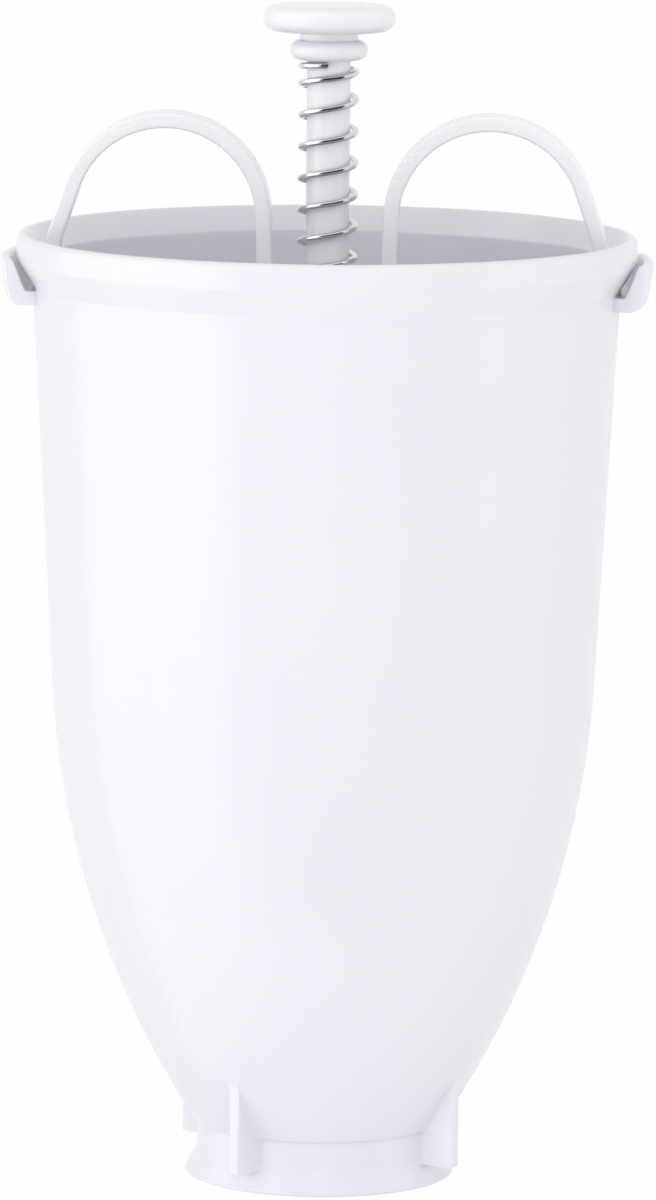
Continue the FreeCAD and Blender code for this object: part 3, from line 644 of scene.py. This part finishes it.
def press_pockets(grid, inside):
    """Presses the two shallow pockets for the bridge's snap beads into the inner wall: outwards by
    the depth times a smooth step in height times one in the angle from the X axis."""
    angle = np.degrees(np.arctan2(np.abs(grid[..., 1]), np.abs(grid[..., 0])))
    level = np.abs(grid[..., 2] - POCKET_HEIGHT)
    narrow, wide = POCKET_HALF_ANGLE - POCKET_SOFT_ANGLE, POCKET_HALF_ANGLE + POCKET_SOFT_ANGLE
    near = 1 - smooth_step(angle, narrow, wide)
    low, high = POCKET_HALF_HEIGHT - POCKET_SOFT_INSIDE, POCKET_HALF_HEIGHT + POCKET_SOFT_OUTSIDE
    near = near * (1 - smooth_step(level, low, high)) * inside
    radius = np.hypot(grid[..., 0], grid[..., 1])
    pressed = grid.copy()
    pressed[..., :2] *= (1 + near * POCKET_DEPTH / radius)[..., None]
    return pressed


grid, inside = hopper_skin(with_gusset_rows(section))
hopper_shell = skin(press_pockets(grid, inside), wrap_rows=True, wrap_columns=True)

# %% [markdown]
# Two lugs hook out from under the lip on the loops' own axis. A lug is a section like a J, carried
# round the rim. Its last half millimetre at each end draws in on a round, as a moulded edge does.

# %% Lugs
LUG_FLOOR, LUG_FLOOR_TOP, LUG_TIP = 162.5, 165.1, 171.1
LUG_THICKNESS, LUG_FOOT_RADIUS, LUG_TIP_RADIUS, LUG_SLOT_RADIUS = 1.8, 57.1, 58.3, 55.9
LUG_ROOT_RADIUS, LUG_FOOT_ROUND, LUG_TIP_ROUND, LUG_SLOT_ROUND = 53.0, 2.6, 0.85, 0.8
LUG_HALF_SPAN = np.radians(12.0)
LUG_END_ROUND, LUG_STEPS = 0.45, 24


def inward_normals(loop):
    """Unit normals of a closed outline, square to the way from each point's neighbours."""
    way = np.roll(loop, -1, axis=0) - np.roll(loop, 1, axis=0)
    way = way / np.linalg.norm(way, axis=1, keepdims=True)
    normal = np.stack([-way[:, 1], way[:, 0]], axis=1)
    towards = loop.mean(axis=0) - loop
    return normal * np.where((normal * towards).sum() < 0, -1.0, 1.0)


def lug_skin(facing):
    """A lug's grid: the J section swept about the axis, with its ends drawn in on a quarter circle."""
    section = rounded([
        (LUG_ROOT_RADIUS, LUG_FLOOR, 0),
        (LUG_FOOT_RADIUS + LUG_THICKNESS, LUG_FLOOR, LUG_FOOT_ROUND),
        (LUG_REACH, LUG_TIP, LUG_TIP_ROUND), (LUG_TIP_RADIUS, LUG_TIP, LUG_TIP_ROUND),
        (LUG_SLOT_RADIUS, LUG_FLOOR_TOP, LUG_SLOT_ROUND), (LUG_ROOT_RADIUS, LUG_FLOOR_TOP, 0),
    ], closed=True)
    normals = inward_normals(section)
    end = LUG_END_ROUND / LUG_REACH
    quarter = np.linspace(0, np.pi / 2, 6)
    low_end = -LUG_HALF_SPAN + end * (1 - np.cos(quarter))
    middle = np.linspace(-LUG_HALF_SPAN + end, LUG_HALF_SPAN - end, LUG_STEPS + 2)[1:-1]
    sweep = np.concatenate([low_end, middle, -low_end[::-1]])
    rise = np.concatenate([quarter, np.full(LUG_STEPS, np.pi / 2), quarter[::-1]])
    draw = LUG_END_ROUND * (1 - np.sin(rise))
    outline = section[None] + normals[None] * draw[:, None, None]
    angle = facing + sweep[:, None]
    radius, height = outline[..., 0], outline[..., 1]
    return np.stack([radius * np.cos(angle), radius * np.sin(angle), height], axis=-1)


lugs = [skin(lug_skin(facing), wrap_columns=True, capped=True) for facing in (0.0, np.pi)]
hopper = make_piece("hopper_moulding", [hopper_shell, *lugs], hopper_plastic,
                    "dispenser_body")
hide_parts("hopper")

# %% [markdown]
# The bridge is a second moulding. A flat band with rounded edges runs round each finger loop:
# along the cross bar, up the leg that clips into the rim, over the arc and down the inner leg.
# So a rounded rectangle is carried along that closed path. Whatever would pass through the
# hopper's wall is pulled back to it, less a small gap, which gives the foot its curved face.

# %% Band round the finger loops
LOOP_CENTRE = np.array([29.7, 178.0])
LOOP_MIDDLE_RADIUS = 18.0
BAND_THICKNESS, BAND_WIDTH, BAND_ROUND = 2.8, 9.0, 0.55
BAR_TOP, BAR_THICKNESS = 166.0, 3.0
LEG_ROOT = np.array([54.0, 166.9])
INNER_LEG_FOOT = 9.85
INNER_FOOT_ROUND, OUTER_FOOT_ROUND, LEG_BEND_ROUND = 2.2, 2.6, 14.0
LONG_STRETCH, STRETCH_STEPS, ARC_POINTS = 4.0, 8, 61
FIT_GAP = 0.25
SNAP_HEIGHT, SNAP_DEPTH, SNAP_HALF_LENGTH = 168.6, 0.6, 0.8


def tangent_angle(point, centre, radius, side):
    """The angle on a circle where a line from a point touches it, to one side of the point."""
    away = point - centre
    return np.arctan2(away[1], away[0]) + side * np.arccos(radius / np.hypot(*away))


def loop_path():
    """The closed middle line of a finger loop: bar, outer leg, arc and inner leg. Long straight
    stretches get points between their ends."""
    half = BAND_THICKNESS / 2
    outer_touch = tangent_angle(LEG_ROOT, LOOP_CENTRE, LOOP_MIDDLE_RADIUS + half, 1)
    inner_foot = np.array([INNER_LEG_FOOT + half, BAR_TOP])
    inner_touch = tangent_angle(inner_foot, LOOP_CENTRE, LOOP_MIDDLE_RADIUS, -1)
    swing = np.linspace(outer_touch, inner_touch % (2 * np.pi), ARC_POINTS)
    arc = LOOP_CENTRE + LOOP_MIDDLE_RADIUS * np.stack([np.cos(swing), np.sin(swing)], axis=1)
    bar_middle = BAR_TOP - BAR_THICKNESS / 2
    wall_line = wall_radius(BAR_TOP, WALL) - FIT_GAP - half
    lean = np.array([-np.sin(outer_touch), np.cos(outer_touch)])
    meeting = arc[0] + lean * (wall_line - arc[0][0]) / lean[0]
    legs = rounded([
        (*arc[-1], 0), (INNER_LEG_FOOT + half, bar_middle, INNER_FOOT_ROUND),
        (wall_line, bar_middle, OUTER_FOOT_ROUND), (*meeting, LEG_BEND_ROUND), (*arc[0], 0),
    ])
    path = [legs[:1]]
    for first, last in zip(legs[:-1], legs[1:]):
        steps = STRETCH_STEPS if np.linalg.norm(last - first) > LONG_STRETCH else 1
        path.append(np.linspace(first, last, steps + 1)[1:])
    return np.concatenate([np.concatenate(path)[:-1], arc[:-1]])


def rounded_bar_section(thick, wide, rounding):
    """A rectangle with rounded corners, as offsets across the band and along Y."""
    half, side = thick / 2, wide / 2
    corners = [(-half, -side), (half, -side), (half, side), (-half, side)]
    return rounded([(*corner, rounding) for corner in corners], closed=True)


def pull_to_wall(points):
    """Moves points that pass the hopper's inner face back to it, less the gap, but lets the snap
    bead stand into its pocket."""
    radius = np.hypot(points[..., 0], points[..., 1])
    height = points[..., 2]
    level = np.abs(height - SNAP_HEIGHT)
    bead = SNAP_DEPTH * (1 - smooth_step(level, SNAP_HALF_LENGTH, SNAP_HALF_LENGTH + SNAP_DEPTH))
    limit = wall_radius(height, WALL) - FIT_GAP + bead
    scale = np.minimum(1.0, limit / np.maximum(radius, 1e-6))
    on_foot = height < RIM_HEIGHT + 1.0
    pulled = points.copy()
    pulled[..., :2] *= np.where(on_foot, scale, 1.0)[..., None]
    return pulled


def band_skin(side):
    """The band's grid: at each point of the path the section stands square to the way along it."""
    path = loop_path()
    way = np.roll(path, -1, axis=0) - np.roll(path, 1, axis=0)
    way = way / np.linalg.norm(way, axis=1, keepdims=True)
    outwards = np.stack([way[:, 1], -way[:, 0]], axis=1)
    section = rounded_bar_section(BAND_THICKNESS, BAND_WIDTH, BAND_ROUND)
    across = path[:, None, :] + outwards[:, None, :] * section[None, :, :1]
    deep = np.broadcast_to(section[None, :, 1], across.shape[:2])
    return pull_to_wall(np.stack([side * across[..., 0], deep, across[..., 1]], axis=-1))


bands = [skin(band_skin(side), wrap_rows=True, wrap_columns=True) for side in (1, -1)]

# %% [markdown]
# Between the loops the cross bar carries the hub. Under it a thin web runs out towards the wall
# on each side, deepest at the hub, and stiffens the bar against the spring. Where the bar meets
# the inner legs its top sweeps up in a small fillet.

# %% Bar, web and hub
WEB_THICKNESS, WEB_REACH, WEB_DEPTH, WEB_LEAST = 2.0, 44.0, 9.0, 0.03
WEB_ROOT = np.array([(1.6, -0.35), (0.9, 0.12), (0.4, 0.35), (0.12, 0.7), (0.0, 1.2)])
WEB_TIP = np.array([(0.94, 0.35), (0.7, 0.12), (0.35, 0.03), (0.0, 0.0)])
HUB_RADIUS, SEAT_HEIGHT, SEAT_DEPTH = 8.0, 166.5, 1.1
SEAT_RADIUS = 6.0
ROD_CLEARANCE = 0.08
BAR_FILLET, BAR_INNER_END = 1.6, 6.0


def bar_skin():
    """The cross bar's grid: its top height is the bar's plus a quarter round at the inner legs."""
    reach = INNER_LEG_FOOT + BAND_THICKNESS * 0.45
    half_bar = np.linspace(BAR_INNER_END, reach, 22)
    along = np.concatenate([-half_bar[::-1], half_bar])
    into = np.clip(np.abs(along) - (INNER_LEG_FOOT - BAR_FILLET), 0, BAR_FILLET)
    rise = BAR_FILLET - np.sqrt(BAR_FILLET ** 2 - into ** 2)
    section = rounded_bar_section(BAR_THICKNESS, BAND_WIDTH, BAND_ROUND)
    top = section[:, 0] > 0
    height = BAR_TOP - BAR_THICKNESS / 2 + section[None, :, 0] + rise[:, None] * top[None]
    return np.stack(np.broadcast_arrays(along[:, None], section[None, :, 1], height), axis=-1)


def web_skin():
    """The web's grid: a root that flares into the bar and a rounded lower edge, which climbs evenly
    from the hub to where the web runs out.

    A root point stands that far beyond the web's side and below the bar. A tip point stands at
    that share of half the thickness, and that far above the lower edge.
    """
    along = np.linspace(-WEB_REACH, WEB_REACH, 89)
    share = (WEB_REACH - np.abs(along)) / (WEB_REACH - HUB_RADIUS)
    drop = (WEB_DEPTH * np.clip(share, WEB_LEAST, 1.0))[:, None]
    half = WEB_THICKNESS / 2
    root_depth = np.minimum(WEB_ROOT[:, 1], drop * 0.8)
    tip_depth = drop - WEB_TIP[:, 1] * np.minimum(1.0, drop)
    depth = np.concatenate([root_depth, tip_depth], axis=1)
    across = np.concatenate([half + WEB_ROOT[:, 0], half * WEB_TIP[:, 0]])
    height = BAR_TOP - BAR_THICKNESS - depth
    right = np.stack(np.broadcast_arrays(along[:, None], across, height), axis=-1)
    left = right[:, -2::-1] * np.array([1.0, -1.0, 1.0])
    return np.concatenate([right, left], axis=1)


def hub_profile():
    """The hub's closed section: foot, side, the seat round the spring and the bore for the rod."""
    top = SEAT_HEIGHT + SEAT_DEPTH
    bore = ROD_RADIUS + ROD_CLEARANCE
    return rounded([
        (bore, HUB_FOOT, 0.35), (HUB_RADIUS, HUB_FOOT, 0.6), (HUB_RADIUS, top, 0.45),
        (SEAT_RADIUS, top, 0.2), (SEAT_RADIUS, SEAT_HEIGHT, 0.2), (bore, SEAT_HEIGHT, 0.25),
    ], closed=True)


hub = skin(turned(hub_profile(), 96), wrap_rows=True, wrap_columns=True)
bar = skin(bar_skin(), wrap_columns=True, capped=True)
web = skin(web_skin(), wrap_columns=True, capped=True)
bridge = make_piece("finger_loops", [*bands, bar, web, hub], bridge_plastic,
                    "dispenser_body")
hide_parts("finger_bridge")

# %% [markdown]
# The plunger is three turned mouldings pressed together: a plain rod, the knob that the thumb
# pushes, and the valve cone that shuts the outlet. Each is an outline turned about the axis.

# %% Rod and knob
ROD_EDGE = 0.5
BEAD_RADIUS, BEAD_HEIGHT, BEAD_ROUND_SHARE = 7.13, 3.6, 0.47
KNOB_NECK, DISC_FOOT = 5.4, 212.3
DISC_EDGE, DISC_CROWN = 2.4, 0.5


def rod_profile():
    """The rod's outline from its foot on the axis to its head on the axis."""
    side = [(ROD_RADIUS, height, 0) for height in np.linspace(ROD_FOOT + 3, ROD_HEAD - 3, 30)]
    return rounded([
        (0, ROD_FOOT, 0), (ROD_RADIUS, ROD_FOOT, ROD_EDGE), *side,
        (ROD_RADIUS, ROD_HEAD, ROD_EDGE), (0, ROD_HEAD, 0),
    ])


def knob_profile():
    """The knob's outline: round bead, neck, the disc's underside, its round edge and low crown."""
    bead_top = BEAD_FOOT + BEAD_HEIGHT
    edge_top = DISC_TOP - DISC_CROWN
    bead_round = BEAD_HEIGHT * BEAD_ROUND_SHARE
    edge_foot, edge_round = edge_top - DISC_EDGE * 2, DISC_EDGE * 0.97
    crown = np.linspace(1, 0, 12)[1:]
    dome = [((DISC_RADIUS - DISC_EDGE) * share, edge_top + DISC_CROWN * (1 - share ** 2), 0)
            for share in crown]
    return rounded([
        (0, BEAD_FOOT + 0.01, 0), (ROD_RADIUS, BEAD_FOOT, 0), (BEAD_RADIUS, BEAD_FOOT, bead_round),
        (BEAD_RADIUS, bead_top, bead_round), (KNOB_NECK, bead_top, 0.3), (KNOB_NECK, DISC_FOOT, 0.5),
        (DISC_RADIUS - DISC_EDGE * 1.5, edge_foot + 0.05, 1.2),
        (DISC_RADIUS, edge_foot, edge_round), (DISC_RADIUS, edge_top, edge_round), *dome,
    ])


rod_shell = skin(turned(rod_profile(), 64), wrap_columns=True)
rod = make_piece("push_rod", [rod_shell], plunger_plastic, "plunger")
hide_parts("plunger_rod")
knob_shell = skin(turned(knob_profile(), 128), wrap_columns=True)
knob = make_piece("thumb_knob", [knob_shell], plunger_plastic, "plunger")
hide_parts("knob")

# %% [markdown]
# The valve is a cone a little smaller than the one inside the skirt, with a boss round the rod.
# Its underside is hollow, so that it cools evenly in the mould, and six ribs keep it stiff.

# %% Valve
VALVE_GAP, VALVE_FOOT, VALVE_WALL, VALVE_RISE = 0.34, 0.8, 1.8, 4.4
VALVE_BOSS, VALVE_BOSS_TOP, VALVE_BOSS_FOOT = 6.4, 18.0, 2.2
SOCKET_GAP, SOCKET_DEPTH = 0.04, 4
RIB_COUNT, RIB_THICKNESS, RIB_ROUND = 6, 1.5, 0.35


def valve_profile():
    """The valve's outline: hollow underside, the edge that seats in the skirt, cone and boss."""
    bore = NECK_RADIUS - WALL
    slope = (SKIRT_BORE - bore) / SEAT_TOP
    rim = SKIRT_BORE - slope * VALVE_FOOT - VALVE_GAP
    crown = bore - VALVE_GAP
    boss_root = SEAT_TOP + VALVE_RISE
    socket = ROD_RADIUS + SOCKET_GAP
    return rounded([
        (0, VALVE_BOSS_FOOT, 0), (VALVE_BOSS, VALVE_BOSS_FOOT, 0.4),
        (VALVE_BOSS, boss_root - VALVE_WALL, 1.0),
        (crown - VALVE_WALL, SEAT_TOP - VALVE_WALL, 0.8), (rim - VALVE_WALL * 1.2, VALVE_FOOT, 0.3),
        (rim, VALVE_FOOT, 0.3), (crown, SEAT_TOP, 0.5), (VALVE_BOSS, boss_root, 1.2),
        (VALVE_BOSS, VALVE_BOSS_TOP, 0.5), (socket, VALVE_BOSS_TOP, 0.2),
        (socket, VALVE_BOSS_TOP - SOCKET_DEPTH, 0), (0, VALVE_BOSS_TOP - SOCKET_DEPTH, 0),
    ])


def rib_skin(angle):
    """A rib under the valve: its section across is a strip with a rounded lower edge, and its top
    is buried in the cone's wall."""
    crown = NECK_RADIUS - WALL - VALVE_GAP
    buried = VALVE_WALL * 0.8
    along = np.linspace(VALVE_BOSS - 0.9, crown - buried, 14)
    root = SEAT_TOP + VALVE_RISE - buried
    share = (along - along[0]) / (along[-1] - along[0])
    top = root + (SEAT_TOP - buried - root) * share
    half = RIB_THICKNESS / 2
    turn = np.linspace(0, np.pi, 9)
    across = np.concatenate([[half], half * np.cos(turn), [-half]])
    below = np.concatenate([[0.0], RIB_ROUND * (1 - np.sin(turn)), [0.0]])
    at_top = np.concatenate([[1.0], np.zeros(9), [1.0]])
    height = VALVE_BOSS_FOOT + below[None] + (top[:, None] - VALVE_BOSS_FOOT) * at_top[None]
    grid = np.stack(np.broadcast_arrays(along[:, None], across[None], height), axis=-1)
    turned_x = grid[..., 0] * np.cos(angle) - grid[..., 1] * np.sin(angle)
    turned_y = grid[..., 0] * np.sin(angle) + grid[..., 1] * np.cos(angle)
    return np.stack([turned_x, turned_y, grid[..., 2]], axis=-1)


valve_shell = skin(turned(valve_profile(), 128), wrap_columns=True)
rib_angles = 2 * np.pi * np.arange(RIB_COUNT) / RIB_COUNT
ribs = [skin(rib_skin(angle), wrap_columns=True, capped=True) for angle in rib_angles]
valve = make_piece("valve_cone", [valve_shell, *ribs], plunger_plastic, "plunger")
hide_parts("valve_plug")

# %% [markdown]
# The return spring is one wire. Its closed ends rise little and lie on their seats, then the
# rise grows to the even pitch of the free turns. The wire is a circle carried along that helix.

# %% Return spring
WIRE_RADIUS, COIL_RADIUS = 0.6, 5.0
SPRING_TURNS, CLOSED_QUARTERS, RAMP_QUARTERS, CLOSED_RISE = 8, 2, 3, 0.44
POINTS_PER_TURN, WIRE_POINTS, SMOOTHED_POINTS = 64, 14, 9
CUT_END_SHARE = 0.82


def quarter_rises(span):
    """The rise of each quarter turn: least at the closed ends, growing evenly to that of the free
    turns, which share what is left of the span. A ramp at each end counts as half closed."""
    quarters = SPRING_TURNS * 4
    slow = 2 * CLOSED_QUARTERS + RAMP_QUARTERS
    free = (span - CLOSED_RISE * slow) / (quarters - slow)
    ramp = CLOSED_RISE + (free - CLOSED_RISE) * np.arange(1, RAMP_QUARTERS + 1) / (RAMP_QUARTERS + 1)
    end = np.concatenate([np.full(CLOSED_QUARTERS, CLOSED_RISE), ramp])
    return np.concatenate([end, np.full(quarters - 2 * len(end), free), end[::-1]])


def spring_grid():
    """The wire's grid and its map: a helix, with the wire's circle square to the way along it and
    a little smaller at the two cut ends."""
    low, high = SPRING_FOOT + WIRE_RADIUS, SPRING_HEAD - WIRE_RADIUS
    rises = quarter_rises(high - low)
    knots = low + np.concatenate([[0.0], np.cumsum(rises)])
    turns = np.linspace(0, SPRING_TURNS, SPRING_TURNS * POINTS_PER_TURN + 1)
    height = np.interp(turns * 4, np.arange(len(knots)), knots)
    smoothing = np.ones(SMOOTHED_POINTS) / SMOOTHED_POINTS
    beside = SMOOTHED_POINTS // 2
    height[beside:-beside] = np.convolve(height, smoothing, mode="valid")
    angle = 2 * np.pi * turns - np.pi / 2
    path = np.stack([COIL_RADIUS * np.cos(angle), COIL_RADIUS * np.sin(angle), height], axis=1)
    way = np.gradient(path, axis=0)
    way = way / np.linalg.norm(way, axis=1, keepdims=True)
    outwards = np.stack([np.cos(angle), np.sin(angle), np.zeros_like(angle)], axis=1)
    upwards = np.cross(outwards, way)
    around = np.linspace(0, 2 * np.pi, WIRE_POINTS, endpoint=False)
    thick = np.full(len(turns), WIRE_RADIUS)
    thick[[0, -1]] = WIRE_RADIUS * CUT_END_SHARE
    ring = np.cos(around)[None, :, None] * outwards[:, None]
    ring = ring + np.sin(around)[None, :, None] * upwards[:, None]
    length = np.concatenate([[0.0], np.cumsum(np.linalg.norm(np.diff(path, axis=0), axis=1))])
    return path[:, None] + ring * thick[:, None, None], length, around


def map_wire(piece, length, around):
    """Gives each corner of a face its place along the wire and round it, in millimetres."""
    mesh = piece.data
    layer = mesh.uv_layers.new(name="wire")
    corner = np.zeros(len(mesh.loops), np.int32)
    mesh.loops.foreach_get("vertex_index", corner)
    row, column = corner // WIRE_POINTS, corner % WIRE_POINTS
    place = np.stack([length[row], around[column] * WIRE_RADIUS], axis=1)
    layer.data.foreach_set("uv", place.astype(np.float32).ravel())


wire, wire_length, wire_around = spring_grid()
wire_shell = skin(wire, wrap_columns=True, capped=True)
spring = make_piece("push_spring", [wire_shell], spring_steel, "dispenser_body",
                    sharp=50.0, merge=0)
map_wire(spring, wire_length, wire_around)
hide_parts("return_spring")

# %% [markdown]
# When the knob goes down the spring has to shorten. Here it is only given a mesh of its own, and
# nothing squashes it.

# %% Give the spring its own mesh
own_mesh(spring)
